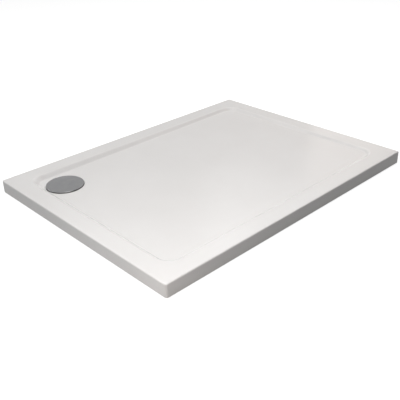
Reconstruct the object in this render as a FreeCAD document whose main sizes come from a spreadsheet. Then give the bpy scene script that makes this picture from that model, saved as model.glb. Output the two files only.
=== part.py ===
import FreeCAD, Part
import math
import os
import re
import Sketcher

# Shower tray with its fitted 90 mm waste and low trap, in millimetres.
# Origin: centre of the tray's underside. X runs along the long side, Y along the short side, Z up.
# The waste stands in the corner at -X, +Y, and the floor of the basin falls to it both ways.

SIZES = {
    # tray outline
    "tray_length": 1000,
    "tray_width": 760,
    "rim_height": 40,
    "corner_radius": 7,
    "edge_radius": 3.5,
    # acrylic skin over the cast core
    "skin_thickness": 3,
    "skirt_gap": 1.5,
    # basin
    "rim_width": 56,
    "wall_run": 12.45,
    "basin_depth": 11,
    "basin_corner_radius": 46,
    "lip_radius": 16,
    "foot_radius": 12.5,
    "fall": 0.0042,
    # waste hole and the dish around it
    "drain_from_left": 131.7,
    "drain_from_back": 143.9,
    "hole_radius": 45,
    "dish_depth": 4,
    "dish_draft": 0.5,
    "rebate_margin": 0.9,
    "core_at_drain": 6.7,
    "trap_recess_radius": 75,
    # relief pockets in the underside of the core
    "pocket_columns": 9,
    "pocket_rows": 7,
    "corner_columns": 2,
    "corner_rows": 5,
    "pocket_margin": 23,
    "pocket_rib": 17,
    "pocket_depth": 9,
    "pocket_corner_radius": 10,
    # flange ring clamped on the skin
    "flange_clearance": 0.8,
    "flange_seal_thickness": 1.5,
    "flange_rim_thickness": 1.8,
    "skirt_clearance": 0.8,
    "flange_wall": 2,
    "shelf_thickness": 2.5,
    "hub_radius": 30,
    "hub_drop": 12,
    # flange screws
    "screw_count": 4,
    "screw_ring_radius": 37.5,
    "screw_radius": 2.5,
    "screw_head_radius": 4.1,
    "screw_head_height": 2.2,
    "screw_length": 16,
    "screw_hole_clearance": 0.2,
    "screw_hole_spare": 1,
    "driver_socket_depth": 1.5,
    "driver_socket_radius": 1.4,
    # trap under the tray
    "body_seal_thickness": 3,
    "collar_radius": 60,
    "collar_thickness": 4,
    "bowl_radius": 53,
    "bowl_wall": 3,
    "bowl_corner": 6,
    "trap_drop": 60.5,
    "boss_wall": 1.8,
    "boss_drop": 19,
    # outlet
    "outlet_drop": 31,
    "pipe_radius": 21.5,
    "pipe_clearance": 0.3,
    "socket_wall": 3.4,
    "socket_length": 33,
    "pipe_stop": 2,
    "thread_height": 1,
    "thread_length": 15,
    "bare_thread": 3,
    "outlet_seal_width": 2.8,
    "outlet_seal_length": 7,
    "outlet_seal_proud": 1.5,
    "outlet_seal_taper": 0.5,
    "seal_grip_clearance": 0.15,
    "slip_washer_thickness": 1.5,
    "thread_clearance": 0.1,
    "nut_wall": 2.8,
    "nut_lip": 3.5,
    "nut_lip_clearance": 0.7,
    "nut_bevel": 1.5,
    "nut_grip_count": 12,
    "nut_grip_radius": 4,
    "nut_grip_depth": 1,
    # removable dip tube
    "weir_rise": 1,
    "water_seal": 19,
    "slide_clearance": 0.3,
    "dip_lip_radius": 33,
    "dip_lip_thickness": 1.6,
    "dip_plug_height": 13,
    "dip_cone_height": 7,
    "dip_tube_radius": 24,
    "dip_wall": 2,
    "o_ring_section": 3,
    "o_ring_drop": 5,
    "o_ring_clearance": 0.15,
    # hair strainer
    "strainer_clearance": 0.4,
    "strainer_wall": 1.8,
    "strainer_ring_radius": 32,
    "strainer_ring_thickness": 1.4,
    "strainer_depth": 14,
    "strainer_hole_radius": 3,
    "strainer_hole_ring": 15,
    "strainer_hole_count": 8,
    "strainer_slot_width": 4,
    "strainer_slot_height": 8,
    "strainer_slot_count": 12,
    "grip_post_radius": 3.5,
    "grip_knob_radius": 7,
    "grip_knob_height": 4,
    "grip_rise": 9,
    # chromed cover and its carrier
    "cover_radius": 57,
    "cover_gap": 6.1,
    "cover_edge_radius": 0.5,
    "cover_edge_flat": 0.1,
    "cover_lower_radius": 0.2,
    "cover_crown": 1.1,
    "carrier_radius": 48,
    "carrier_inner_radius": 20,
    "carrier_thickness": 1.6,
    "leg_count": 4,
    "leg_width": 8,
    "leg_outer_radius": 30.5,
    "leg_inner_radius": 22,
    "finger_drop": 6,
    "finger_clearance": 0.8,
}

# Heights and radii that follow from the sizes, all measured from the tray's underside or an axis.
PLACES = {
    "drain_x": "drain_from_left - tray_length / 2",
    "drain_y": "tray_width / 2 - drain_from_back",
    "floor_centre": "rim_height - basin_depth",
    "floor_at_drain": "floor_centre + fall * (drain_x - drain_y)",
    "wall_slope": "basin_depth / wall_run",
    "rebate_radius": "cover_radius + rebate_margin",
    "dish_low": "floor_at_drain - dish_depth",
    "dish_slope": "dish_depth / dish_draft",
    "land": "dish_low - flange_rim_thickness - flange_seal_thickness",
    "seat": "land - skin_thickness - core_at_drain",
    "pocket_field_x": "tray_length - 2 * pocket_margin",
    "pocket_field_y": "tray_width - 2 * pocket_margin",
    "pocket_pitch_x": "pocket_field_x / pocket_columns",
    "pocket_pitch_y": "pocket_field_y / pocket_rows",
    "flange_radius": "rebate_radius - flange_clearance",
    "flange_under": "dish_low - flange_rim_thickness",
    "skirt_radius": "hole_radius - skirt_clearance",
    "skirt_bore": "skirt_radius - flange_wall",
    "collar_top": "seat - body_seal_thickness",
    "shelf_top": "collar_top + shelf_thickness",
    "hub_outer": "hub_radius + flange_wall",
    "hub_bottom": "shelf_top - hub_drop",
    "bowl_bore": "bowl_radius - bowl_wall",
    "boss_radius": "screw_radius + boss_wall",
    "socket_bore": "pipe_radius + pipe_clearance",
    "socket_radius": "socket_bore + socket_wall",
    "window_radius": "socket_bore - pipe_stop",
    "socket_end": "bowl_radius + socket_length",
    "thread_radius": "socket_radius + thread_height",
    "seal_seat_radius": "socket_bore + outlet_seal_width",
    "seal_inner_radius": "pipe_radius + seal_grip_clearance",
    "seal_start": "socket_end - outlet_seal_length",
    "washer_start": "socket_end + outlet_seal_proud",
    "nut_bore": "thread_radius + thread_clearance",
    "nut_radius": "nut_bore + nut_wall",
    "nut_lip_start": "washer_start + slip_washer_thickness",
    "weir": "weir_rise - outlet_drop",
    "dip_end": "weir - water_seal",
    "plug_radius": "hub_radius - slide_clearance",
    "dip_lip_top": "shelf_top + dip_lip_thickness",
    "plug_bottom": "shelf_top - dip_plug_height",
    "plug_bore": "plug_radius - dip_wall - o_ring_section / 2",
    "tube_bore": "dip_tube_radius - dip_wall",
    "o_ring_centre": "hub_radius - o_ring_clearance - o_ring_section / 2",
    "o_ring_height": "shelf_top - o_ring_drop",
    "groove_radius": "hub_radius - o_ring_clearance - o_ring_section",
    "basket_radius": "plug_bore - strainer_clearance",
    "basket_bore": "basket_radius - strainer_wall",
    "strainer_ring_top": "dip_lip_top + strainer_ring_thickness",
    "basket_bottom": "strainer_ring_top - strainer_depth",
    "basket_floor": "basket_bottom + strainer_wall",
    "knob_bottom": "strainer_ring_top + grip_rise - grip_knob_height",
    "cover_lower": "dish_low + cover_gap",
    "cover_edge_top": "cover_lower + cover_lower_radius + cover_edge_flat + cover_edge_radius",
    "carrier_under": "cover_lower - carrier_thickness",
}

FULL_TURN = 360
NEAR = 0.01  # distance in mm within which an edge counts as lying in a plane
FLOOR_TILT = "atan(0 - fall * sqrt(2))"  # turn of the floor about the diagonal that stays level
CUT_MARGIN = 5  # how far in mm a cutting profile stands out of the solid that it cuts
OVERLAP = 1  # the same, and how far a pad enters its neighbour, where space is short

doc = FreeCAD.newDocument("shower_tray")
sheet = doc.addObject("Spreadsheet::Sheet", "sizes")
for row, (name, size) in enumerate(SIZES.items(), start=1):
    sheet.set(f"A{row}", name)
    sheet.set(f"B{row}", str(size))
    sheet.setAlias(f"B{row}", name)
doc.recompute()


def formula(text):
    """An expression on the sheet's cells, from text that uses the names of sizes and places."""

    def spell_out(found):
        word = found[0]
        if word in PLACES:
            return f"({formula(PLACES[word])})"
        return f"sizes.{word}" if word in SIZES else word

    return re.sub(r"[a-z_][a-z0-9_]*", spell_out, text)


def value(text):
    return float(sheet.evalExpression(formula(text)))


def new_body(label, at=("0", "0", "0")):
    body = doc.addObject("PartDesign::Body", label)
    body.Label = label
    for axis, place in zip("xyz", at):
        body.setExpression(f"Placement.Base.{axis}", formula(place))
    return body


DRAIN = ("drain_x", "drain_y", "0")
OUTLET = ("drain_x", "drain_y", "0 - outlet_drop")


def origin_part(body, role):
    return next(part for part in body.Origin.OriginFeatures if part.Role == role)


def new_sketch(body, role, at=("0", "0", "0")):
    """A sketch on one of the body's origin planes, moved within the plane and along its normal."""
    sketch = body.newObject("Sketcher::SketchObject", f"{body.Label}_sketch")
    sketch.AttachmentSupport = (origin_part(body, role), "")
    sketch.MapMode = "FlatFace"
    for axis, place in zip("xyz", at):
        sketch.setExpression(f"AttachmentOffset.Base.{axis}", formula(place))
    return sketch


def pin_down(sketch, geometry, point, x, y):
    """Ties one point of the sketch to a pair of expressions measured from the sketch's origin."""
    for kind, axis_line, place in (("DistanceX", -2, x), ("DistanceY", -1, y)):
        if place == "0":
            sketch.addConstraint(Sketcher.Constraint("PointOnObject", geometry, point, axis_line))
            continue
        number = sketch.addConstraint(Sketcher.Constraint(kind, -1, 1, geometry, point, value(place)))
        sketch.setExpression(f"Constraints[{number}]", formula(place))


def outline(sketch, corners, crown=None):
    """A closed outline through corners. The run that starts at corner number crown is an arc
    whose centre is on the upright axis, so that it turns into a dome."""
    points = [FreeCAD.Vector(value(x), value(y), 0) for x, y in corners]
    count = len(points)
    for run, start in enumerate(points):
        end = points[(run + 1) % count]
        if run == crown:
            rise = abs(end.y - start.y)
            reach = abs(end.x - start.x)
            dome_radius = (rise * rise + reach * reach) / (2 * rise)
            centre = FreeCAD.Vector(0, max(start.y, end.y) - dome_radius, 0)
            middle = (start + end) / 2 - centre
            middle.multiply(dome_radius / middle.Length)
            sketch.addGeometry(Part.Arc(start, centre + middle, end), False)
        else:
            sketch.addGeometry(Part.LineSegment(start, end), False)
    for run, (x, y) in enumerate(corners):
        sketch.addConstraint(Sketcher.Constraint("Coincident", run, 2, (run + 1) % count, 1))
        pin_down(sketch, run, 1, x, y)
    if crown is not None:
        sketch.addConstraint(Sketcher.Constraint("PointOnObject", crown, 3, -2))


def rectangle(sketch, left, bottom, right, top):
    outline(sketch, [(left, bottom), (right, bottom), (right, top), (left, top)])


def circle(sketch, x, y, radius):
    centre = FreeCAD.Vector(value(x), value(y), 0)
    number = sketch.addGeometry(Part.Circle(centre, FreeCAD.Vector(0, 0, 1), value(radius)), False)
    pin_down(sketch, number, 3, x, y)
    size = sketch.addConstraint(Sketcher.Constraint("Radius", number, value(radius)))
    sketch.setExpression(f"Constraints[{size}]", formula(radius))


def rounded_rectangle(sketch, half_x, half_y, radius, at=("0", "0")):
    """Four sides and four corner arcs, round the point at."""
    reach_x, reach_y, corner = value(half_x), value(half_y), value(radius)
    middle = FreeCAD.Vector(value(at[0]), value(at[1]), 0)
    up = FreeCAD.Vector(0, 0, 1)
    first = sketch.GeometryCount
    quarters = [(1, -1, -math.pi / 2), (1, 1, 0), (-1, 1, math.pi / 2), (-1, -1, math.pi)]
    for side_x, side_y, start_angle in quarters:
        centre = middle + FreeCAD.Vector(side_x * (reach_x - corner), side_y * (reach_y - corner), 0)
        arc = Part.ArcOfCircle(Part.Circle(centre, up, corner), start_angle, start_angle + math.pi / 2)
        sketch.addGeometry(arc, False)
    for quarter in range(4):
        following = (quarter + 1) % 4
        start = sketch.getPoint(first + quarter, 2)
        end = sketch.getPoint(first + following, 1)
        side = sketch.addGeometry(Part.LineSegment(start, end), False)
        sketch.addConstraint(Sketcher.Constraint("Tangent", first + quarter, 2, side, 1))
        sketch.addConstraint(Sketcher.Constraint("Tangent", side, 2, first + following, 1))
        upright = quarter % 2 == 0
        sketch.addConstraint(Sketcher.Constraint("Vertical" if upright else "Horizontal", side))
    for quarter in range(1, 4):
        sketch.addConstraint(Sketcher.Constraint("Equal", first, first + quarter))
    size = sketch.addConstraint(Sketcher.Constraint("Radius", first, corner))
    sketch.setExpression(f"Constraints[{size}]", formula(radius))
    right, top, left, bottom = range(first + 4, first + 8)
    edges = [
        ("DistanceX", right, f"{at[0]} + {half_x}"),
        ("DistanceY", top, f"{at[1]} + {half_y}"),
        ("DistanceX", left, f"{at[0]} - ({half_x})"),
        ("DistanceY", bottom, f"{at[1]} - ({half_y})"),
    ]
    for kind, side, place in edges:
        number = sketch.addConstraint(Sketcher.Constraint(kind, -1, 1, side, 1, value(place)))
        sketch.setExpression(f"Constraints[{number}]", formula(place))


def padded(body, sketch, length, backwards=False, kind="Pad"):
    feature = body.newObject(f"PartDesign::{kind}", f"{body.Label}_{kind}")
    feature.Profile = sketch
    feature.setExpression("Length", formula(length))
    feature.Reversed = backwards
    return feature


def pocketed(body, sketch, length, backwards=False):
    return padded(body, sketch, length, backwards, "Pocket")


def turned(body, sketch, axis="V_Axis", kind="Revolution"):
    feature = body.newObject(f"PartDesign::{kind}", f"{body.Label}_{kind}")
    feature.Profile = sketch
    feature.ReferenceAxis = (sketch, [axis])
    feature.Angle = FULL_TURN
    return feature


def grooved(body, sketch, axis="V_Axis"):
    return turned(body, sketch, axis, "Groove")


def ring_of(body, features, count, axis="Z_Axis"):
    """The features repeated evenly round one of the body's own axes."""
    pattern = body.newObject("PartDesign::PolarPattern", f"{body.Label}_ring")
    pattern.Originals = features
    pattern.Axis = (origin_part(body, axis), [""])
    pattern.Angle = FULL_TURN
    pattern.setExpression("Occurrences", formula(count))
    body.Tip = pattern
    return pattern


def names_of(feature, kind, is_wanted):
    """The names of the feature's faces or edges that pass the test."""
    elements = getattr(feature.Shape, f"{kind}s")
    return [f"{kind}{number}" for number, element in enumerate(elements, start=1) if is_wanted(element)]


def rounded(body, feature, radius, is_wanted):
    """A fillet on the edges of the feature that pass the test."""
    doc.recompute()
    fillet = body.newObject("PartDesign::Fillet", f"{body.Label}_fillet")
    fillet.Base = (feature, names_of(feature, "Edge", is_wanted))
    fillet.setExpression("Radius", formula(radius))
    return fillet


def floor_height(point, centre_height):
    return centre_height + value("fall") * (point.x - point.y)


def is_level(edge, height):
    return all(abs(vertex.Z - height) < NEAR for vertex in edge.Vertexes)


def tray_form(body, inset, bottom):
    """The tray's block with its basin, dish and waste hole. An inset of the skin's thickness
    gives the inner side of the skin, which is the outside of the core."""
    plan = new_sketch(body, "XY_Plane", ("0", "0", bottom))
    half_length = f"tray_length / 2 - {inset}"
    half_width = f"tray_width / 2 - {inset}"
    rounded_rectangle(plan, half_length, half_width, f"corner_radius - {inset}")
    top = f"rim_height - {inset}"
    block = padded(body, plan, f"{top} - ({bottom})")
    if inset == "0":
        block = rounded(body, block, "edge_radius", lambda edge: is_level(edge, value(top)))

    # the wall of the basin is shifted by this much, so that the skin is as thick there
    shift = f"{inset} * (sqrt(1 + wall_slope ^ 2) - 1) / wall_slope"
    lip = new_sketch(body, "XY_Plane", ("0", "0", top))
    rounded_rectangle(
        lip,
        f"tray_length / 2 - rim_width + {shift}",
        f"tray_width / 2 - rim_width + {shift}",
        f"basin_corner_radius + {shift}",
    )
    floor = body.newObject("PartDesign::Plane", f"{body.Label}_floor")
    floor.AttachmentSupport = (origin_part(body, "XY_Plane"), "")
    floor.MapMode = "FlatFace"
    tilt = FreeCAD.Rotation(FreeCAD.Vector(1, 1, 0), value(FLOOR_TILT))
    floor.AttachmentOffset = FreeCAD.Placement(FreeCAD.Vector(), tilt)
    floor.setExpression("AttachmentOffset.Base.z", formula(f"floor_centre - {inset}"))
    floor.setExpression("AttachmentOffset.Rotation.Angle", formula(FLOOR_TILT))
    well = body.newObject("PartDesign::Pocket", f"{body.Label}_well")
    well.Profile = lip
    well.Type = "UpToFace"
    well.UpToFace = (floor, [""])
    doc.recompute()

    reach_x = value("tray_length / 2 - rim_width / 2")
    reach_y = value("tray_width / 2 - rim_width / 2")

    def is_in_basin(edge):
        middle = edge.CenterOfMass
        return abs(middle.x) < reach_x and abs(middle.y) < reach_y

    def is_lip(edge):
        return is_in_basin(edge) and is_level(edge, value(top))

    def is_foot(edge):
        centre_height = value(f"floor_centre - {inset}")
        heights = [vertex.Z - floor_height(vertex.Point, centre_height) for vertex in edge.Vertexes]
        return is_in_basin(edge) and all(abs(height) < NEAR for height in heights)

    def is_wall(face):
        middle = face.CenterOfMass
        upright = abs(face.normalAt(0, 0).z) < NEAR
        return upright and abs(middle.x) < reach_x and abs(middle.y) < reach_y

    def is_top(face):
        return abs(face.CenterOfMass.z - value(top)) < NEAR

    basin = body.newObject("PartDesign::Draft", f"{body.Label}_basin")
    basin.Base = (well, names_of(well, "Face", is_wall))
    basin.NeutralPlane = (well, names_of(well, "Face", is_top))
    basin.setExpression("Angle", formula("atan(wall_run / basin_depth)"))
    softened = rounded(body, basin, f"lip_radius - {inset}", is_lip)
    rounded(body, softened, f"foot_radius + {inset}", is_foot)

    steepness = "sqrt(1 + dish_slope ^ 2)"
    rebate = f"rebate_radius + {inset}"
    slope_start = f"dish_low + {inset} * (dish_slope - {steepness})"
    above = f"floor_at_drain + {CUT_MARGIN} - {inset}"
    slope_end = f"{rebate} + ({above} - ({slope_start})) / dish_slope"
    dish = new_sketch(body, "XZ_Plane", ("drain_x", "0", "0 - drain_y"))
    corners = [
        ("0", f"land - {inset}"),
        (rebate, f"land - {inset}"),
        (rebate, slope_start),
        (slope_end, above),
        ("0", above),
    ]
    outline(dish, corners)
    grooved(body, dish)

    hole = new_sketch(body, "XY_Plane", ("0", "0", "rim_height"))
    circle(hole, "drain_x", "drain_y", "hole_radius")
    pocketed(body, hole, f"rim_height + {CUT_MARGIN}")
    return body


def acrylic_skin():
    outside = tray_form(new_body("skin_outside"), "0", "skirt_gap")
    inside = tray_form(new_body("skin_inside"), "skin_thickness", f"0 - {CUT_MARGIN}")
    skin = doc.addObject("Part::Cut", "acrylic_skin")
    skin.Base = outside
    skin.Tool = inside
    return skin


def relief_pockets(body, first_column, first_row, columns, rows):
    """A block of pockets in the underside, from one cell of the grid repeated both ways."""
    cell = new_sketch(body, "XY_Plane")
    middle_x = f"pocket_margin - tray_length / 2 + pocket_pitch_x * ({first_column} + 1 / 2)"
    middle_y = f"pocket_margin - tray_width / 2 + pocket_pitch_y * ({first_row} + 1 / 2)"
    half_x = "pocket_pitch_x / 2 - pocket_rib / 2"
    half_y = "pocket_pitch_y / 2 - pocket_rib / 2"
    rounded_rectangle(cell, half_x, half_y, "pocket_corner_radius", (middle_x, middle_y))
    pocket = pocketed(body, cell, "pocket_depth", backwards=True)
    grid = body.newObject("PartDesign::MultiTransform", f"{body.Label}_grid")
    grid.Originals = [pocket]
    steps = []
    for axis, count, pitch in (("X_Axis", columns, "pocket_pitch_x"), ("Y_Axis", rows, "pocket_pitch_y")):
        step = body.newObject("PartDesign::LinearPattern", f"{body.Label}_row")
        step.Direction = (origin_part(body, axis), [""])
        step.setExpression("Occurrences", formula(count))
        step.setExpression("Length", formula(f"({count} - 1) * {pitch}"))
        steps.append(step)
    grid.Transformations = steps
    body.Tip = grid
    return grid


def stone_resin_core():
    body = tray_form(new_body("stone_resin_core"), "skin_thickness", "0")
    recess = new_sketch(body, "XY_Plane")
    circle(recess, "drain_x", "drain_y", "trap_recess_radius")
    pocketed(body, recess, "seat", backwards=True)
    relief_pockets(body, "corner_columns", "0", "pocket_columns - corner_columns", "pocket_rows")
    relief_pockets(body, "0", "0", "corner_columns", "corner_rows")
    return body


def flat_ring(label, at, inner, outer, low, high):
    body = new_body(label, at)
    section = new_sketch(body, "XZ_Plane")
    rectangle(section, inner, low, outer, high)
    turned(body, section)
    return body


def waste_flange():
    body = new_body("waste_flange", DRAIN)
    section = new_sketch(body, "XZ_Plane")
    corners = [
        ("skirt_bore", "dish_low"),
        ("skirt_bore", "shelf_top"),
        ("hub_radius", "shelf_top"),
        ("hub_radius", "hub_bottom"),
        ("hub_outer", "hub_bottom"),
        ("hub_outer", "collar_top"),
        ("skirt_radius", "collar_top"),
        ("skirt_radius", "flange_under"),
        ("flange_radius", "flange_under"),
        ("flange_radius", "dish_low"),
    ]
    outline(section, corners)
    turned(body, section)
    screw_way = new_sketch(body, "XZ_Plane", ("screw_ring_radius", "0", "0"))
    head_side = "screw_head_radius + screw_hole_clearance"
    shank_side = "screw_radius + screw_hole_clearance"
    below = f"collar_top - {OVERLAP}"
    above = f"shelf_top + {OVERLAP}"
    corners = [
        ("0", below),
        (shank_side, below),
        (shank_side, "shelf_top - screw_head_height"),
        (head_side, "shelf_top"),
        (head_side, above),
        ("0", above),
    ]
    outline(screw_way, corners)
    ring_of(body, [grooved(body, screw_way)], "screw_count")
    return body


def flange_screws():
    """Countersunk screws that pull the flange down on the trap's bosses."""
    screws = []
    for number in range(SIZES["screw_count"]):
        angle = f"{number} * 360 / screw_count"
        at = (
            f"drain_x + screw_ring_radius * cos({angle})",
            f"drain_y + screw_ring_radius * sin({angle})",
            "shelf_top",
        )
        body = new_body(f"flange_screw_{number + 1}", at)
        section = new_sketch(body, "XZ_Plane")
        corners = [
            ("0", "0 - screw_length"),
            ("screw_radius", "screw_radius - screw_length"),
            ("screw_radius", "0 - screw_head_height"),
            ("screw_head_radius", "0"),
            ("driver_socket_radius", "0"),
            ("driver_socket_radius", "0 - driver_socket_depth"),
            ("0", "0 - driver_socket_depth"),
        ]
        outline(section, corners)
        turned(body, section)
        screws.append(body)
    group = doc.addObject("Part::Compound", "flange_screws")
    group.Links = screws
    return group


def trap_body():
    body = new_body("trap_body", DRAIN)
    section = new_sketch(body, "XZ_Plane")
    bottom = "0 - trap_drop"
    collar_under = "collar_top - collar_thickness"
    corners = [
        ("0", bottom),
        ("bowl_radius - bowl_corner", bottom),
        ("bowl_radius", f"{bottom} + bowl_corner"),
        ("bowl_radius", collar_under),
        ("collar_radius", collar_under),
        ("collar_radius", "collar_top"),
        ("0", "collar_top"),
    ]
    outline(section, corners)
    turned(body, section)

    socket = new_sketch(body, "YZ_Plane", ("0", "0 - outlet_drop", "0"))
    thread_start = "socket_end - thread_length"
    corners = [
        ("0", "0"),
        ("0", "socket_radius"),
        (thread_start, "socket_radius"),
        (thread_start, "thread_radius"),
        ("socket_end", "thread_radius"),
        ("socket_end", "0"),
    ]
    outline(socket, corners)
    turned(body, socket, "H_Axis")

    hollow = new_sketch(body, "XZ_Plane")
    inner_corner = "bowl_corner - bowl_wall / 2"
    floor_level = "bowl_wall - trap_drop"
    corners = [
        ("0", floor_level),
        (f"bowl_bore - ({inner_corner})", floor_level),
        ("bowl_bore", f"{floor_level} + {inner_corner}"),
        ("bowl_bore", f"collar_top + {CUT_MARGIN}"),
        ("0", f"collar_top + {CUT_MARGIN}"),
    ]
    outline(hollow, corners)
    grooved(body, hollow)

    bore = new_sketch(body, "YZ_Plane", ("0", "0 - outlet_drop", "0"))
    mouth = f"socket_end + {CUT_MARGIN}"
    corners = [
        ("bowl_radius", "0"),
        ("bowl_radius", "socket_bore"),
        ("seal_start", "socket_bore"),
        ("seal_start", "seal_seat_radius"),
        (mouth, "seal_seat_radius"),
        (mouth, "0"),
    ]
    outline(bore, corners)
    grooved(body, bore, "H_Axis")

    window = new_sketch(body, "XZ_Plane", ("0", "0", "0 - bowl_bore / 2"))
    weir_window(window)
    pocketed(body, window, f"bowl_radius - bowl_bore / 2 + {OVERLAP}")

    web = new_sketch(body, "XY_Plane", ("0", "0", "collar_top"))
    rectangle(web, "screw_ring_radius", "0 - boss_radius", "bowl_bore + bowl_wall / 2", "boss_radius")
    web_pad = padded(body, web, "boss_drop", backwards=True)
    post = new_sketch(body, "XY_Plane", ("0", "0", "collar_top"))
    circle(post, "screw_ring_radius", "0", "boss_radius")
    post_pad = padded(body, post, "boss_drop", backwards=True)
    hole = new_sketch(body, "XY_Plane", ("0", "0", "collar_top"))
    circle(hole, "screw_ring_radius", "0", "screw_radius")
    hole_pocket = pocketed(body, hole, "screw_length - shelf_thickness + screw_hole_spare")
    ring_of(body, [web_pad, post_pad, hole_pocket], "screw_count")
    return body


def weir_window(sketch):
    """The way out over the weir: an arc closed by a level chord, with a ledge that stops the pipe."""
    centre = FreeCAD.Vector(0, value("0 - outlet_drop"), 0)
    radius = value("window_radius")
    start_angle = math.asin(value("weir_rise") / radius)
    bore_circle = Part.Circle(centre, FreeCAD.Vector(0, 0, 1), radius)
    arc = sketch.addGeometry(Part.ArcOfCircle(bore_circle, start_angle, math.pi - start_angle), False)
    chord_ends = sketch.getPoint(arc, 2), sketch.getPoint(arc, 1)
    chord = sketch.addGeometry(Part.LineSegment(*chord_ends), False)
    sketch.addConstraint(Sketcher.Constraint("Coincident", arc, 2, chord, 1))
    sketch.addConstraint(Sketcher.Constraint("Coincident", chord, 2, arc, 1))
    sketch.addConstraint(Sketcher.Constraint("Horizontal", chord))
    pin_down(sketch, arc, 3, "0", "0 - outlet_drop")
    size = sketch.addConstraint(Sketcher.Constraint("Radius", arc, radius))
    sketch.setExpression(f"Constraints[{size}]", formula("window_radius"))
    level = sketch.addConstraint(Sketcher.Constraint("DistanceY", -1, 1, chord, 1, value("weir")))
    sketch.setExpression(f"Constraints[{level}]", formula("weir"))


def outlet_piece(label, corners):
    """A ring turned round the outlet's axis, from corners given as distance along it and radius."""
    body = new_body(label, OUTLET)
    section = new_sketch(body, "YZ_Plane")
    outline(section, corners)
    turned(body, section, "H_Axis")
    return body


def outlet_seal():
    return outlet_piece(
        "outlet_seal",
        [
            ("seal_start", "seal_inner_radius"),
            ("washer_start", "seal_inner_radius"),
            ("washer_start", "seal_seat_radius - outlet_seal_taper"),
            ("socket_end", "seal_seat_radius"),
            ("seal_start", "seal_seat_radius"),
        ],
    )


def outlet_slip_washer():
    return outlet_piece(
        "outlet_slip_washer",
        [
            ("washer_start", "socket_bore"),
            ("nut_lip_start", "socket_bore"),
            ("nut_lip_start", "thread_radius"),
            ("washer_start", "thread_radius"),
        ],
    )


def outlet_nut():
    lip_radius = "pipe_radius + nut_lip_clearance"
    nut_start = "socket_end - thread_length + bare_thread"
    nut_end = "nut_lip_start + nut_lip"
    body = outlet_piece(
        "outlet_nut",
        [
            (nut_start, "nut_bore"),
            ("nut_lip_start", "nut_bore"),
            ("nut_lip_start", lip_radius),
            (nut_end, lip_radius),
            (nut_end, "nut_radius - nut_bevel"),
            (f"{nut_end} - nut_bevel", "nut_radius"),
            (nut_start, "nut_radius"),
        ],
    )
    grip = new_sketch(body, "XZ_Plane")
    circle(grip, "0", "nut_radius + nut_grip_radius - nut_grip_depth", "nut_grip_radius")
    notch = pocketed(body, grip, f"{nut_end} + {CUT_MARGIN}")
    ring_of(body, [notch], "nut_grip_count", "Y_Axis")
    return body


def dip_tube():
    body = new_body("dip_tube", DRAIN)
    section = new_sketch(body, "XZ_Plane")
    half_ring = "o_ring_section / 2"
    cone_end = "plug_bottom - dip_cone_height"
    corners = [
        ("plug_bore", "dip_lip_top"),
        ("plug_bore", "plug_bottom"),
        ("tube_bore", cone_end),
        ("tube_bore", "dip_end"),
        ("dip_tube_radius", "dip_end"),
        ("dip_tube_radius", cone_end),
        ("plug_radius", "plug_bottom"),
        ("plug_radius", f"o_ring_height - {half_ring}"),
        ("groove_radius", f"o_ring_height - {half_ring}"),
        ("groove_radius", f"o_ring_height + {half_ring}"),
        ("plug_radius", f"o_ring_height + {half_ring}"),
        ("plug_radius", "shelf_top"),
        ("dip_lip_radius", "shelf_top"),
        ("dip_lip_radius", "dip_lip_top"),
    ]
    outline(section, corners)
    turned(body, section)
    return body


def dip_tube_o_ring():
    body = new_body("dip_tube_o_ring", DRAIN)
    section = new_sketch(body, "XZ_Plane")
    circle(section, "o_ring_centre", "o_ring_height", "o_ring_section / 2")
    turned(body, section)
    return body


def hair_strainer():
    body = new_body("hair_strainer", DRAIN)
    section = new_sketch(body, "XZ_Plane")
    corners = [
        ("0", "basket_bottom"),
        ("basket_radius", "basket_bottom"),
        ("basket_radius", "dip_lip_top"),
        ("strainer_ring_radius", "dip_lip_top"),
        ("strainer_ring_radius", "strainer_ring_top"),
        ("basket_bore", "strainer_ring_top"),
        ("basket_bore", "basket_floor"),
        ("grip_post_radius", "basket_floor"),
        ("grip_post_radius", "knob_bottom"),
        ("grip_knob_radius", "knob_bottom"),
        ("grip_knob_radius", "knob_bottom + grip_knob_height"),
        ("0", "knob_bottom + grip_knob_height"),
    ]
    outline(section, corners)
    turned(body, section)
    hole = new_sketch(body, "XY_Plane", ("0", "0", "basket_floor"))
    circle(hole, "strainer_hole_ring", "0", "strainer_hole_radius")
    floor_hole = pocketed(body, hole, f"strainer_wall + {OVERLAP}")
    ring_of(body, [floor_hole], "strainer_hole_count")
    slot = new_sketch(body, "YZ_Plane", ("0", "0", "grip_knob_radius"))
    half_slot = "strainer_slot_width / 2"
    slot_low = "basket_floor + strainer_wall / 2"
    rectangle(slot, f"0 - {half_slot}", slot_low, half_slot, f"{slot_low} + strainer_slot_height")
    side_slot = pocketed(body, slot, "basket_radius", backwards=True)
    ring_of(body, [side_slot], "strainer_slot_count")
    return body


def waste_cover():
    body = new_body("waste_cover", DRAIN)
    section = new_sketch(body, "XZ_Plane")
    corners = [
        ("0", "cover_lower"),
        ("cover_radius", "cover_lower"),
        ("cover_radius", "cover_edge_top"),
        ("0", "cover_edge_top + cover_crown"),
    ]
    outline(section, corners, crown=2)
    dome = turned(body, section)
    reach = value("cover_radius") - NEAR

    def is_rim(edge, height):
        return is_level(edge, value(height)) and edge.BoundBox.XMax > reach

    shoulder = rounded(body, dome, "cover_edge_radius", lambda edge: is_rim(edge, "cover_edge_top"))
    rounded(body, shoulder, "cover_lower_radius", lambda edge: is_rim(edge, "cover_lower"))
    return body


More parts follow.
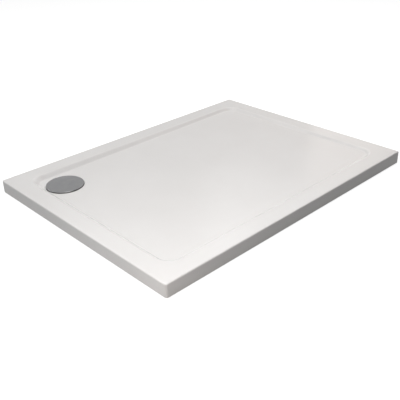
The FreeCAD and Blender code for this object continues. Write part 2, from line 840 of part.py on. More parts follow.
def cover_carrier():
    body = new_body("cover_carrier", DRAIN)
    section = new_sketch(body, "XZ_Plane")
    rectangle(section, "carrier_inner_radius", "carrier_under", "carrier_radius", "cover_lower")
    turned(body, section)
    half_leg = "leg_width / 2"
    leg = new_sketch(body, "XY_Plane", ("0", "0", "strainer_ring_top"))
    rectangle(leg, "leg_inner_radius", f"0 - {half_leg}", "leg_outer_radius", half_leg)
    leg_pad = padded(body, leg, "cover_lower - strainer_ring_top")
    finger = new_sketch(body, "XY_Plane", ("0", "0", "strainer_ring_top - finger_drop"))
    finger_reach = "basket_bore - finger_clearance"
    rectangle(finger, "leg_inner_radius", f"0 - {half_leg}", finger_reach, half_leg)
    finger_pad = padded(body, finger, f"finger_drop + {OVERLAP}")
    ring_of(body, [leg_pad, finger_pad], "leg_count")
    return body


nodes = [
    acrylic_skin(),
    stone_resin_core(),
    flat_ring("flange_seal", DRAIN, "hole_radius", "flange_radius", "land", "flange_under"),
    waste_flange(),
    flange_screws(),
    flat_ring("body_seal", DRAIN, "hole_radius", "collar_radius", "collar_top", "seat"),
    trap_body(),
    outlet_seal(),
    outlet_slip_washer(),
    outlet_nut(),
    dip_tube(),
    dip_tube_o_ring(),
    hair_strainer(),
    cover_carrier(),
    waste_cover(),
]
doc.recompute()

for item in doc.Objects:
    if "Invalid" in item.State or "Error" in item.State:
        raise RuntimeError(f"{item.Label} failed: {item.State}")
for node in nodes:
    if node.Shape.isNull() or not node.Shape.isValid():
        raise RuntimeError(f"{node.Label} has no sound shape")

os.makedirs("parts", exist_ok=True)
for node in nodes:
    node.Shape.exportStep(f"parts/{node.Label}.step")
    solids = len(node.Shape.Solids)
    print(f"{node.Label}: {solids} solid(s), {node.Shape.Volume / 1000:.1f} cm3")
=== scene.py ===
import math

import bmesh
import bpy
from mathutils import Matrix, Vector


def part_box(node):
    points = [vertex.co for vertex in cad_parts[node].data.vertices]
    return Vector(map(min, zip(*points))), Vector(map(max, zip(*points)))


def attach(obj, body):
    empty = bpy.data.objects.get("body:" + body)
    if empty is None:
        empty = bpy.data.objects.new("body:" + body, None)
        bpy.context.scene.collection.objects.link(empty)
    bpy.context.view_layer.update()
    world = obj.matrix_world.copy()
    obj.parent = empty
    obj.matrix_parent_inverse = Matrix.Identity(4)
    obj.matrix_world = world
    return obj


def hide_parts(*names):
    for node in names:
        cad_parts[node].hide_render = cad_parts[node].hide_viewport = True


# A low white shower tray with its round waste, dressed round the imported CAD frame. All lengths
# are in metres, in the frame's own axes: X along the long side, Y along the short side, Z up.

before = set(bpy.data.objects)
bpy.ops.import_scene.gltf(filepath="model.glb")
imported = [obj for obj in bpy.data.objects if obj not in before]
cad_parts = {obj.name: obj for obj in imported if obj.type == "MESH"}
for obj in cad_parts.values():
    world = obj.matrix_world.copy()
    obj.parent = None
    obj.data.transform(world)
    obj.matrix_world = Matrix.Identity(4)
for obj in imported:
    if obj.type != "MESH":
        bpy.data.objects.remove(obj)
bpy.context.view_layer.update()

# The tray's size and the waste's place come from the frame.
skin_low, skin_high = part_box("acrylic_skin")
cover_low, cover_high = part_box("waste_cover")
HALF_LENGTH = skin_high.x
HALF_WIDTH = skin_high.y
RIM_HEIGHT = skin_high.z
SKIRT_BOTTOM = skin_low.z
DRAIN = Vector(((cover_low.x + cover_high.x) / 2, (cover_low.y + cover_high.y) / 2, 0))

# The tray's form, the same values as in the CAD source.
CORNER_RADIUS = 0.007
EDGE_RADIUS = 0.0035
SKIN_THICKNESS = 0.003
RIM_WIDTH = 0.056
WALL_RUN = 0.01245
BASIN_DEPTH = 0.011
BASIN_CORNER_RADIUS = 0.046
LIP_RADIUS = 0.016
FOOT_RADIUS = 0.0125
FALL = 0.0042
DISH_DEPTH = 0.004
DISH_DRAFT = 0.0005
REBATE_MARGIN = 0.0009
REBATE_DEPTH = 0.0033
HOLE_RADIUS = 0.045
DISH_ROLL = 0.0006  # radius of the rolled edge between the floor and the recess
DISH_CLEARANCE = 0.0003  # how far the wall's foot is kept from that edge
RECESS_SKIN = 0.001  # the skin's thickness in the recess's wall, which is thinned there

COVER_RADIUS = (cover_high.x - cover_low.x) / 2
COVER_CROWN = 0.0011
COVER_EDGE_RADIUS = 0.0005
COVER_LOWER_RADIUS = 0.0002
REBATE_RADIUS = COVER_RADIUS + REBATE_MARGIN
DISH_RADIUS = REBATE_RADIUS + DISH_DRAFT

WALL_SLOPE = BASIN_DEPTH / WALL_RUN
WALL_ANGLE = math.atan(WALL_SLOPE)
FLOOR_CENTRE = RIM_HEIGHT - BASIN_DEPTH
ROUNDING_SPAN = math.tan(WALL_ANGLE / 2)  # reach of a lip or foot from its sharp edge, by radius
DEPTH_INSET = RIM_WIDTH / 4  # how far inwards of the lip line the basin's depth is read

SHARP_ANGLE = math.radians(32)  # edges that turn by more stay sharp
FLAT_WEIGHT = 100  # the most that large flat faces can lead the shading of their corners

# How finely the meshes follow the curves.
CORNER_STEPS = 16
SIDE_STEPS = 8
BITE_STEPS = 6  # either way from the waste, on the side whose foot the recess cuts into
BITE_SPACING = 0.005
ROUND_STEPS = 8
DRAIN_STEPS = 128
DOME_STEPS = 12


# ---------------------------------------------------------------- meshes


def finished(mesh_builder, name):
    """A piece from a bmesh, shaded smooth except over sharp edges, with flats that stay flat."""
    bmesh.ops.recalc_face_normals(mesh_builder, faces=mesh_builder.faces)
    mesh = bpy.data.meshes.new(name)
    mesh_builder.to_mesh(mesh)
    mesh_builder.free()
    mesh.polygons.foreach_set("use_smooth", [True] * len(mesh.polygons))
    mesh.set_sharp_from_angle(angle=SHARP_ANGLE)
    piece = bpy.data.objects.new(name, mesh)
    bpy.context.scene.collection.objects.link(piece)
    weighting = piece.modifiers.new("flat_faces_lead", "WEIGHTED_NORMAL")
    weighting.keep_sharp = True
    weighting.weight = FLAT_WEIGHT
    return piece


def add_ring(builder, points):
    return [builder.verts.new(point) for point in points]


def bridge(builder, ring, following):
    count = len(ring)
    for station in range(count):
        beside = (station + 1) % count
        builder.faces.new((ring[station], ring[beside], following[beside], following[station]))


def bridge_all(builder, rings):
    for ring, following in zip(rings, rings[1:]):
        bridge(builder, ring, following)


def fill_between(builder, outer, inner):
    """Fills the flat ring-shaped area between two closed rings that have different counts."""
    edges = []
    for ring in (outer, inner):
        count = len(ring)
        for station in range(count):
            pair = (ring[station], ring[(station + 1) % count])
            edges.append(builder.edges.get(pair) or builder.edges.new(pair))
    bmesh.ops.triangle_fill(builder, use_beauty=True, use_dissolve=False, edges=edges)


def shares_along(start, end):
    """Where a side's stations stand, as shares of its length: evenly, and closely at the waste."""
    shares = [step / SIDE_STEPS for step in range(1, SIDE_STEPS)]
    length = end.y - start.y
    if start.x < 0 and abs(length) > BITE_SPACING:
        middle = (DRAIN.y - start.y) / length
        steps = range(-BITE_STEPS, BITE_STEPS + 1)
        shares += [middle + BITE_SPACING / length * step for step in steps]
    return sorted(shares)


def rail(half_x, half_y, radius):
    """Stations round a rounded rectangle, each a point and the outward direction there."""
    corners = []
    for quarter, (side_x, side_y) in enumerate([(1, -1), (1, 1), (-1, 1), (-1, -1)]):
        centre = Vector((side_x * (half_x - radius), side_y * (half_y - radius), 0))
        corner = []
        for step in range(CORNER_STEPS + 1):
            angle = math.pi / 2 * (quarter - 1 + step / CORNER_STEPS)
            out = Vector((math.cos(angle), math.sin(angle), 0))
            corner.append((centre + radius * out, out))
        corners.append(corner)
    stations = []
    for quarter, corner in enumerate(corners):
        stations.extend(corner)
        end, out = corner[-1]
        start = corners[(quarter + 1) % 4][0][0]
        for share in shares_along(end, start):
            stations.append((end.lerp(start, share), out))
    return stations


def swept(builder, stations, profile_at):
    """Rings of vertices along a rail, from profiles of inset and height at each station."""
    profiles = [profile_at(point, out) for point, out in stations]
    rings = []
    for number in range(len(profiles[0])):
        ring = []
        for (point, out), profile in zip(stations, profiles):
            inset, height = profile[number]
            place = point - out * inset
            ring.append(Vector((place.x, place.y, height)))
        rings.append(add_ring(builder, ring))
    return rings


def floor_height(point):
    return FLOOR_CENTRE + FALL * (point.x - point.y)


def recess_bite(place, out, foot):
    """The angle at which a wall's foot arc, which would end on the floor at a place, is cut off
    by the recess round the waste."""
    offset = place - DRAIN
    away = offset.dot(out)
    clear = DISH_RADIUS + DISH_ROLL + DISH_CLEARANCE
    aside = math.sqrt(max(offset.xy.length_squared - away**2, 0))
    if aside >= clear:
        return 0
    overlap = math.sqrt(clear**2 - aside**2) - away
    return math.asin(max(overlap, 0) / foot)


def foot_rise(place):
    """How far the left wall's foot stands over the floor, where the recess cuts into it."""
    depth = RIM_HEIGHT - floor_height(place)
    foot_line = RIM_WIDTH + depth / WALL_SLOPE + FOOT_RADIUS * ROUNDING_SPAN - HALF_LENGTH
    overlap = min(max(foot_line - place.x, 0), FOOT_RADIUS)
    return FOOT_RADIUS - math.sqrt(FOOT_RADIUS**2 - overlap**2)


def round_drain(radius, height_at):
    points = []
    for step in range(DRAIN_STEPS):
        angle = 2 * math.pi * step / DRAIN_STEPS
        place = DRAIN + radius * Vector((math.cos(angle), math.sin(angle), 0))
        points.append(Vector((place.x, place.y, height_at(place))))
    return points


# ---------------------------------------------------------------- tray


def skirt_profile(inset):
    """From the bottom of the side up to the rim, as inset from the side and height."""
    top = RIM_HEIGHT - inset
    radius = max(EDGE_RADIUS - inset, 0)
    profile = [(0, SKIRT_BOTTOM)]
    steps = ROUND_STEPS if radius else 0
    for step in range(steps + 1):
        angle = math.pi / 2 * step / max(steps, 1)
        profile.append((radius * (1 - math.cos(angle)), top - radius * (1 - math.sin(angle))))
    return profile


def basin_profile(point, out, inset):
    """From the rim down to the floor, as inset from the sharp lip line and height."""
    top = RIM_HEIGHT - inset
    lip = LIP_RADIUS - inset
    foot = FOOT_RADIUS + inset
    # The floor falls, so the depth is read about where the wall meets it.
    inward_x = -math.copysign(DEPTH_INSET, point.x)
    inward_y = -math.copysign(DEPTH_INSET, point.y)
    depth = RIM_HEIGHT - floor_height(point + Vector((inward_x, inward_y, 0)))
    full_reach = depth / WALL_SLOPE + foot * ROUNDING_SPAN
    last = recess_bite(point - out * full_reach, out, foot)
    profile = []
    for step in range(ROUND_STEPS + 1):
        angle = WALL_ANGLE * step / ROUND_STEPS
        reach = lip * math.sin(angle) - lip * ROUNDING_SPAN
        profile.append((reach, top - lip * (1 - math.cos(angle))))
    for step in range(ROUND_STEPS, -1, -1):
        angle = last + (WALL_ANGLE - last) * step / ROUND_STEPS
        reach = full_reach - foot * math.sin(angle)
        profile.append((reach, top - depth + foot * (1 - math.cos(angle))))
    return profile


def tray_rings(builder, inset):
    """The rings of one side of the skin, from the skirt's bottom to the foot of the basin."""
    outside = rail(HALF_LENGTH - inset, HALF_WIDTH - inset, CORNER_RADIUS - inset)
    shift = inset * (math.hypot(1, WALL_SLOPE) - 1) / WALL_SLOPE
    lip_line = rail(
        HALF_LENGTH - RIM_WIDTH + shift,
        HALF_WIDTH - RIM_WIDTH + shift,
        BASIN_CORNER_RADIUS + shift,
    )
    rings = swept(builder, outside, lambda point, out: skirt_profile(inset))
    rings += swept(builder, lip_line, lambda point, out: basin_profile(point, out, inset))
    # The last ring is set on the sloping floor, which keeps the floor one flat face.
    for vertex in rings[-1]:
        vertex.co.z = floor_height(vertex.co) + foot_rise(vertex.co) - inset
    return rings


def dish_rings(builder, inset):
    """The rings of one side of the skin round the waste, from the floor to the clamped land."""
    dish_low = floor_height(DRAIN) - DISH_DEPTH
    wall = REBATE_RADIUS + min(inset, RECESS_SKIN)
    rings = []
    for step in range(ROUND_STEPS + 1):
        angle = math.pi / 2 * step / ROUND_STEPS
        radius = DISH_RADIUS + DISH_ROLL * (1 - math.sin(angle))
        drop = DISH_ROLL * (1 - math.cos(angle)) + inset

        def height_at(place, drop=drop):
            return floor_height(place) + foot_rise(place) - drop

        rings.append(add_ring(builder, round_drain(radius, height_at)))
    land = dish_low - REBATE_DEPTH - inset
    for radius, height in ((wall, dish_low - inset), (wall, land), (HOLE_RADIUS, land)):
        rings.append(add_ring(builder, round_drain(radius, lambda place, height=height: height)))
    return rings


def acrylic_shell():
    """The white skin: outer side, inner side, and the edges that join them."""
    builder = bmesh.new()
    outer = tray_rings(builder, 0)
    outer_dish = dish_rings(builder, 0)
    inner = tray_rings(builder, SKIN_THICKNESS)
    inner_dish = dish_rings(builder, SKIN_THICKNESS)
    bridge_all(builder, outer)
    bridge_all(builder, outer_dish)
    bridge_all(builder, inner)
    bridge_all(builder, inner_dish)
    bridge(builder, outer[0], inner[0])
    bridge(builder, outer_dish[-1], inner_dish[-1])
    fill_between(builder, outer[-1], outer_dish[0])
    fill_between(builder, inner[-1], inner_dish[0])
    return finished(builder, "tray_shell")


# ---------------------------------------------------------------- waste cover


def dome_profile():
    """Half of the cover's section, from the top of the dome round to the underside's centre."""
    rise, reach = COVER_CROWN, COVER_RADIUS
    dome_radius = (rise * rise + reach * reach) / (2 * rise)
    dome_centre = cover_high.z - dome_radius
    round_centre_x = COVER_RADIUS - COVER_EDGE_RADIUS
    inner_radius = dome_radius - COVER_EDGE_RADIUS
    round_centre_z = dome_centre + math.sqrt(inner_radius**2 - round_centre_x**2)
    lean = math.atan2(round_centre_z - dome_centre, round_centre_x)
    profile = []
    for step in range(DOME_STEPS):
        angle = math.pi / 2 + (lean - math.pi / 2) * step / DOME_STEPS
        profile.append((dome_radius * math.cos(angle), dome_centre + dome_radius * math.sin(angle)))
    for step in range(ROUND_STEPS + 1):
        angle = lean * (1 - step / ROUND_STEPS)
        profile.append(
            (
                round_centre_x + COVER_EDGE_RADIUS * math.cos(angle),
                round_centre_z + COVER_EDGE_RADIUS * math.sin(angle),
            )
        )
    for step in range(ROUND_STEPS + 1):
        angle = -math.pi / 2 * step / ROUND_STEPS
        profile.append(
            (
                COVER_RADIUS - COVER_LOWER_RADIUS * (1 - math.cos(angle)),
                cover_low.z + COVER_LOWER_RADIUS * (1 + math.sin(angle)),
            )
        )
    profile.append((0, cover_low.z))
    return profile


def chrome_cover():
    builder = bmesh.new()
    profile = dome_profile()
    top = builder.verts.new((DRAIN.x, DRAIN.y, profile[0][1]))
    bottom = builder.verts.new((DRAIN.x, DRAIN.y, profile[-1][1]))
    rings = []
    for radius, height in profile[1:-1]:
        rings.append(add_ring(builder, round_drain(radius, lambda place, height=height: height)))
    bridge_all(builder, rings)
    for pole, ring in ((top, rings[0]), (bottom, rings[-1])):
        for station in range(DRAIN_STEPS):
            builder.faces.new((pole, ring[station], ring[(station + 1) % DRAIN_STEPS]))
    return finished(builder, "cover_disc")


# ---------------------------------------------------------------- materials


class Nodes:
    """A material's node tree, with short ways to add nodes and links."""

    def __init__(self, name):
        self.material = bpy.data.materials.new(name)
        self.material.use_nodes = True
        self.tree = self.material.node_tree
        self.tree.nodes.clear()
        self.out = self.tree.nodes.new("ShaderNodeOutputMaterial")
        self.coordinates = self.tree.nodes.new("ShaderNodeTexCoord").outputs["Object"]

    def add(self, kind, **inputs):
        node = self.tree.nodes.new(f"ShaderNode{kind}")
        for name, setting in inputs.items():
            self.feed(node.inputs[name.replace("_", " ")], setting)
        return node

    def feed(self, socket, setting):
        if isinstance(setting, bpy.types.NodeSocket):
            self.tree.links.new(setting, socket)
        else:
            socket.default_value = setting

    def stretched(self, scale):
        """The object's coordinates, stretched by a factor along each axis."""
        mapping = self.add("Mapping", Vector=self.coordinates, Scale=scale)
        return mapping.outputs["Vector"]

    def noise(self, scale, detail=2, roughness=0.5, vector=None):
        node = self.add("TexNoise", Scale=scale, Detail=detail, Roughness=roughness)
        self.feed(node.inputs["Vector"], vector or self.coordinates)
        return node.outputs["Fac"]

    def cells(self, scale):
        return self.add("TexVoronoi", Scale=scale, Vector=self.coordinates)

    def spread(self, value, low, high, start=0.3, end=0.7):
        """The value's range start to end, carried to the range low to high."""
        node = self.tree.nodes.new("ShaderNodeMapRange")
        self.feed(node.inputs["Value"], value)
        settings = {"From Min": start, "From Max": end, "To Min": low, "To Max": high}
        for name, setting in settings.items():
            node.inputs[name].default_value = setting
        return node.outputs["Result"]

    def mixed(self, factor, colour, other):
        node = self.tree.nodes.new("ShaderNodeMix")
        node.data_type = "RGBA"
        self.feed(node.inputs[0], factor)
        colours = [socket for socket in node.inputs if socket.type == "RGBA"]
        self.feed(colours[0], colour)
        self.feed(colours[1], other)
        return next(socket for socket in node.outputs if socket.type == "RGBA")

    def bumped(self, height, distance, normal=None):
        node = self.add("Bump", Height=height, Distance=distance)
        if normal:
            self.feed(node.inputs["Normal"], normal)
        return node.outputs["Normal"]

    def surface(self, **inputs):
        """Ends the tree in one principled shader."""
        shader = self.add("BsdfPrincipled")
        for name, setting in inputs.items():
            self.feed(shader.inputs[name.replace("_", " ")], setting)
        self.tree.links.new(shader.outputs["BSDF"], self.out.inputs["Surface"])
        return self.material


def grey(level, warmth=0.0):
    """An opaque grey of a linear level. Warmth lifts the red and lowers the blue by its share."""
    return (level * (1 + warmth), level, level * (1 - warmth), 1)


def white_acrylic():
    """Glossy sheet acrylic: very even white, the faintest waviness, and fine wear in the gloss."""
    nodes = Nodes("white_acrylic")
    cloud = nodes.noise(5, detail=3)
    colour = nodes.mixed(nodes.spread(cloud, 0, 1), grey(0.805, 0.010), grey(0.83, 0.008))
    handling = nodes.noise(38, detail=6, roughness=0.65)
    wave = nodes.bumped(nodes.noise(26, detail=1), 0.00012)
    peel = nodes.bumped(nodes.noise(420, detail=2), 0.00001, normal=wave)
    return nodes.surface(
        Base_Color=colour,
        Roughness=nodes.spread(handling, 0.20, 0.27),
        IOR=1.49,
        Normal=peel,
    )


def cast_resin():
    """Matt cast resin, cream, with dark and light grains of stone, and open pores dented in and
    darkened with painted shade.
    """
    nodes = Nodes("cast_resin")
    grains = nodes.cells(620)
    tone = nodes.spread(grains.outputs["Color"], 0, 1, 0, 1)
    stone = nodes.mixed(tone, (0.46, 0.43, 0.38, 1), (0.74, 0.72, 0.67, 1))
    cloud = nodes.spread(nodes.noise(9, detail=4), 0.35, 0.75)
    colour = nodes.mixed(cloud, stone, (0.63, 0.60, 0.55, 1))
    pore_dents_and_shade = nodes.spread(nodes.cells(260).outputs["Distance"], 0, 1, 0.02, 0.16)
    rough = nodes.bumped(nodes.noise(700, detail=5, roughness=0.7), 0.00012)
    return nodes.surface(
        # The pores' darker colour is painted shade in their dents.
        Base_Color=nodes.mixed(pore_dents_and_shade, (0.40, 0.37, 0.33, 1), colour),
        Roughness=nodes.spread(nodes.noise(120, detail=4), 0.62, 0.86),
        Normal=nodes.bumped(pore_dents_and_shade, 0.00025, normal=rough),
    )


def polished_chrome():
    """Chrome plate: a cool metal with faint polishing marks and dried water film."""
    nodes = Nodes("polished_chrome")
    film = nodes.noise(55, detail=5, roughness=0.6)
    tint = nodes.mixed(nodes.spread(film, 0, 1), (0.56, 0.565, 0.58, 1), (0.60, 0.60, 0.605, 1))
    marks = nodes.noise(900, detail=2, vector=nodes.stretched((1, 0.06, 1)))
    return nodes.surface(
        Base_Color=tint,
        Metallic=1.0,
        Roughness=nodes.spread(film, 0.06, 0.11),
        Normal=nodes.bumped(marks, 0.000004),
    )


def brushed_steel():
    """Stainless steel of the screws, with turning marks."""
    nodes = Nodes("brushed_steel")
    marks = nodes.noise(2200, detail=3, vector=nodes.stretched((1, 1, 0.05)))
    colour = nodes.mixed(nodes.spread(marks, 0, 1), (0.50, 0.49, 0.47, 1), (0.64, 0.63, 0.61, 1))
    return nodes.surface(
        Base_Color=colour,
        Metallic=1.0,
        Roughness=nodes.spread(marks, 0.28, 0.40),
        Normal=nodes.bumped(marks, 0.00002),
    )


def moulded_plastic(name, level, warmth, gloss):
    """Injection-moulded polypropylene: fine mould grain and slow flow marks in its colour."""
    nodes = Nodes(name)
    flow = nodes.noise(30, detail=3)
    colour = nodes.mixed(nodes.spread(flow, 0, 1), grey(level * 0.95, warmth), grey(level, warmth))
    grain = nodes.noise(2600, detail=3, roughness=0.6)
    return nodes.surface(
        Base_Color=colour,
        Roughness=nodes.spread(nodes.noise(240, detail=4), gloss - 0.05, gloss + 0.07),
        IOR=1.49,
        Normal=nodes.bumped(grain, 0.00003),
    )


def moulded_rubber():
    """Black rubber with a dusty bloom over a fine grain."""
    nodes = Nodes("moulded_rubber")
    bloom = nodes.spread(nodes.noise(160, detail=5, roughness=0.65), 0, 1)
    return nodes.surface(
        Base_Color=nodes.mixed(bloom, grey(0.018), grey(0.045)),
        Roughness=nodes.spread(nodes.noise(500, detail=3), 0.52, 0.72),
        Normal=nodes.bumped(nodes.noise(2400, detail=3), 0.00004),
    )


def seal_foam():
    """Closed-cell foam, with its small bubbles cut open at the edge."""
    nodes = Nodes("seal_foam")
    bubbles = nodes.cells(1500).outputs["Distance"]
    wall = nodes.spread(bubbles, 1, 0, 0.05, 0.5)
    return nodes.surface(
        Base_Color=nodes.mixed(wall, grey(0.05), grey(0.13)),
        Roughness=nodes.spread(nodes.noise(300, detail=3), 0.75, 0.92),
        Normal=nodes.bumped(wall, 0.00012),
    )


# ---------------------------------------------------------------- pieces on the frame


def dress(node, material):
    """Gives a carried-over CAD node its finish."""
    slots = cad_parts[node].material_slots
    if not slots:
        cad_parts[node].data.materials.append(material)
    for slot in slots:
        slot.material = material


def fitted(piece, body, material, replaced):
    """Sets a dressed piece on its body in the place of a CAD node."""
    piece.data.materials.append(material)
    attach(piece, body)
    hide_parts(replaced)


acrylic = white_acrylic()
chrome = polished_chrome()
rubber = moulded_rubber()
black_plastic = moulded_plastic("black_plastic", 0.022, 0.0, 0.45)
grey_plastic = moulded_plastic("grey_plastic", 0.36, 0.0, 0.42)
white_plastic = moulded_plastic("white_plastic", 0.74, 0.012, 0.34)

FINISHES = {
    "acrylic_skin": acrylic,
    "stone_resin_core": cast_resin(),
    "flange_seal": seal_foam(),
    "waste_flange": black_plastic,
    "flange_screws": brushed_steel(),
    "body_seal": rubber,
    "trap_body": white_plastic,
    "outlet_seal": rubber,
    "outlet_slip_washer": white_plastic,
    "outlet_nut": white_plastic,
    "dip_tube": grey_plastic,
    "dip_tube_o_ring": rubber,
    "hair_strainer": grey_plastic,
    "cover_carrier": black_plastic,
    "waste_cover": chrome,
}
for node, material in FINISHES.items():
    dress(node, material)

fitted(acrylic_shell(), "root", acrylic, "acrylic_skin")
fitted(chrome_cover(), "cover", chrome, "waste_cover")


# ---------------------------------------------------------------- studio

FLOOR_REACH = 9.0  # half of the floor's side
FLOOR_HOLE_INSET = 0.045  # the floor's cut-out for the trap stays this far inside the tray's sides
FLOOR_ALBEDO = 0.28
FLOOR_LIFT = 0.92  # a glow that only the eye, mirrors and glass see

CAMERA_AZIMUTH = math.radians(-43.068)
CAMERA_ELEVATION = math.radians(28.540)
CAMERA_ROLL = math.radians(-1.687)
CAMERA_DISTANCE = 1.9093
CAMERA_AIM = Vector((-0.0409, -0.0094, -0.0640))
CAMERA_LENS = 54.291  # mm, on a 36 mm wide sensor
SENSOR_WIDTH = 36.0  # mm


def larger(tree, first, second):
    node = tree.nodes.new("ShaderNodeMath")
    node.operation = "MAXIMUM"
    tree.links.new(first, node.inputs[0])
    tree.links.new(second, node.inputs[1])
    return node.outputs["Value"]


def seen_directly(tree):
    """1 for camera, mirror and glass rays, 0 for the light that the surface gives others."""
    path = tree.nodes.new("ShaderNodeLightPath")
    mirrored = larger(tree, path.outputs["Is Glossy Ray"], path.outputs["Is Transmission Ray"])
    return larger(tree, path.outputs["Is Camera Ray"], mirrored)


def studio_floor():
    """A plain pale floor with a hidden cut-out under the tray for the trap."""
    builder = bmesh.new()
    outer = (FLOOR_REACH, FLOOR_REACH)
    inner = (HALF_LENGTH - FLOOR_HOLE_INSET, HALF_WIDTH - FLOOR_HOLE_INSET)
    rings = []
    for reach_x, reach_y in (outer, inner):
        corners = ((1, -1), (1, 1), (-1, 1), (-1, -1))
        rings.append(add_ring(builder, [(x * reach_x, y * reach_y, 0) for x, y in corners]))
    bridge(builder, rings[0], rings[1])
    for face in builder.faces:
        face.normal_update()
        if face.normal.z < 0:
            face.normal_flip()
    mesh = bpy.data.meshes.new("studio_floor")
    builder.to_mesh(mesh)
    builder.free()
    floor = bpy.data.objects.new("studio_floor", mesh)
    bpy.context.scene.collection.objects.link(floor)

    material = bpy.data.materials.new("studio_floor")
    material.use_nodes = True
    tree = material.node_tree
    tree.nodes.clear()
    out = tree.nodes.new("ShaderNodeOutputMaterial")
    diffuse = tree.nodes.new("ShaderNodeBsdfDiffuse")
    diffuse.inputs["Color"].default_value = grey(FLOOR_ALBEDO)
    glow = tree.nodes.new("ShaderNodeEmission")
    lift = tree.nodes.new("ShaderNodeMath")
    lift.operation = "MULTIPLY"
    lift.inputs[1].default_value = FLOOR_LIFT
    tree.links.new(seen_directly(tree), lift.inputs[0])
    tree.links.new(lift.outputs["Value"], glow.inputs["Strength"])
    both = tree.nodes.new("ShaderNodeAddShader")
    tree.links.new(diffuse.outputs["BSDF"], both.inputs[0])
    tree.links.new(glow.outputs["Emission"], both.inputs[1])
    tree.links.new(both.outputs["Shader"], out.inputs["Surface"])
    mesh.materials.append(material)


AMBIENT = 0.08  # the world's light on the object, and the brightness of the dark ceiling

# What mirrors see of the studio: sine of the height above the horizon, and brightness.
STUDIO_WALL = (
    (0.0, 1.0),
    (0.25, 1.0),
    (0.38, 0.55),
    (0.60, 0.55),
    (0.75, AMBIENT),
    (1.0, AMBIENT),
)
# On the side behind the photograph's camera, mirrors see only this share of it. The side starts
# and is full at these cosines of the angle to the camera's bearing.
DARK_SIDE = 0.15
DARK_SIDE_START = -0.1
DARK_SIDE_FULL = 0.4


def studio_world():
    """White for the eye, a soft even light for the object, and for mirrors a white backdrop
    under a grey wall and a dark ceiling, all of it darker on the camera's side."""
    world = bpy.data.worlds.new("studio")
    bpy.context.scene.world = world
    world.use_nodes = True
    tree = world.node_tree
    tree.nodes.clear()
    out = tree.nodes.new("ShaderNodeOutputWorld")
    background = tree.nodes.new("ShaderNodeBackground")
    direction = tree.nodes.new("ShaderNodeSeparateXYZ")
    coordinates = tree.nodes.new("ShaderNodeTexCoord")
    tree.links.new(coordinates.outputs["Generated"], direction.inputs["Vector"])
    fade = tree.nodes.new("ShaderNodeValToRGB")
    tree.links.new(direction.outputs["Z"], fade.inputs["Fac"])
    stops = fade.color_ramp.elements
    stops.remove(stops[-1])
    stops[0].color = grey(STUDIO_WALL[0][1])
    for height, brightness in STUDIO_WALL[1:]:
        stops.new(height).color = grey(brightness)
    towards = tree.nodes.new("ShaderNodeVectorMath")
    towards.operation = "DOT_PRODUCT"
    towards.inputs[1].default_value = (math.sin(CAMERA_AZIMUTH), -math.cos(CAMERA_AZIMUTH), 0)
    tree.links.new(coordinates.outputs["Generated"], towards.inputs[0])
    side = tree.nodes.new("ShaderNodeMapRange")
    tree.links.new(towards.outputs["Value"], side.inputs["Value"])
    side.inputs["From Min"].default_value = DARK_SIDE_START
    side.inputs["From Max"].default_value = DARK_SIDE_FULL
    side.inputs["To Min"].default_value = 1.0
    side.inputs["To Max"].default_value = DARK_SIDE
    mirrored = tree.nodes.new("ShaderNodeMath")
    mirrored.operation = "MULTIPLY"
    tree.links.new(fade.outputs["Color"], mirrored.inputs[0])
    tree.links.new(side.outputs["Result"], mirrored.inputs[1])
    strength = tree.nodes.new("ShaderNodeMapRange")
    tree.links.new(seen_directly(tree), strength.inputs["Value"])
    strength.inputs["To Min"].default_value = AMBIENT
    tree.links.new(mirrored.outputs["Value"], strength.inputs["To Max"])
    path = tree.nodes.new("ShaderNodeLightPath")
    shown = larger(tree, path.outputs["Is Camera Ray"], strength.outputs["Result"])
    tree.links.new(shown, background.inputs["Strength"])
    tree.links.new(background.outputs["Background"], out.inputs["Surface"])


NEUTRAL = (1.0, 0.99, 0.985)
WARM = (1.0, 0.90, 0.84)

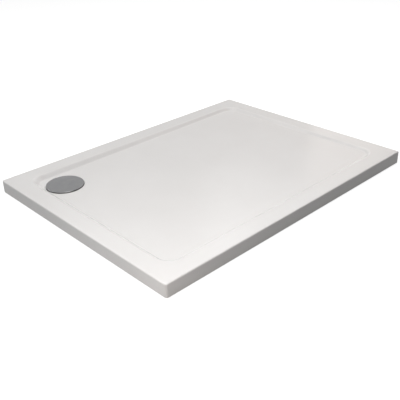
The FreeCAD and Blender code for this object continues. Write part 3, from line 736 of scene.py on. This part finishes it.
# Name, bearing and elevation in degrees, distance and side in metres, watts, colour.
LAMPS = (
    ("back_left", -150, 45, 3.0, 1.5, 22.0, NEUTRAL),
    ("back_right", 120, 42, 3.0, 1.5, 8.9, NEUTRAL),
    ("ceiling", 180, 78, 3.0, 1.5, 31.0, NEUTRAL),
    ("right_side", 80, 45, 1.2, 0.5, 1.35, WARM),
    ("right_low", 95, 20, 1.0, 0.4, 0.35, WARM),
    ("corner_high", -52, 45, 1.05, 0.5, 3.3, NEUTRAL),
    ("corner_low", -52, 10, 0.95, 0.3, 0.4, WARM),
    ("left_low", -75, 12, 1.1, 0.3, 0.53, NEUTRAL),
)


def softbox(name, azimuth, elevation, distance, size, power, colour):
    """A square area light that stands at a bearing from the tray's middle and looks at it."""
    bearing, height = math.radians(azimuth), math.radians(elevation)
    away = Vector(
        (
            math.sin(bearing) * math.cos(height),
            -math.cos(bearing) * math.cos(height),
            math.sin(height),
        )
    )
    data = bpy.data.lights.new(name, "AREA")
    data.size = size
    data.energy = power
    data.color = colour
    lamp = bpy.data.objects.new(name, data)
    lamp.location = away * distance
    lamp.rotation_mode = "QUATERNION"
    lamp.rotation_quaternion = away.to_track_quat("Z", "Y")
    bpy.context.scene.collection.objects.link(lamp)


def photographer():
    """The camera at the photograph's viewing angle."""
    back = Vector(
        (
            math.sin(CAMERA_AZIMUTH) * math.cos(CAMERA_ELEVATION),
            -math.cos(CAMERA_AZIMUTH) * math.cos(CAMERA_ELEVATION),
            math.sin(CAMERA_ELEVATION),
        )
    )
    level = Vector((math.cos(CAMERA_AZIMUTH), math.sin(CAMERA_AZIMUTH), 0))
    upright = back.cross(level)
    cos_roll, sin_roll = math.cos(CAMERA_ROLL), math.sin(CAMERA_ROLL)
    right = cos_roll * level + sin_roll * upright
    up = cos_roll * upright - sin_roll * level
    data = bpy.data.cameras.new("camera")
    data.sensor_width = SENSOR_WIDTH
    data.lens = CAMERA_LENS
    camera = bpy.data.objects.new("camera", data)
    turn = Matrix((right, up, back)).transposed()
    camera.matrix_world = Matrix.LocRotScale(CAMERA_AIM + back * CAMERA_DISTANCE, turn, None)
    bpy.context.scene.collection.objects.link(camera)
    bpy.context.scene.camera = camera


photographer()
studio_floor()
studio_world()
for lamp in LAMPS:
    softbox(*lamp)
bpy.context.scene.view_settings.view_transform = "Standard"
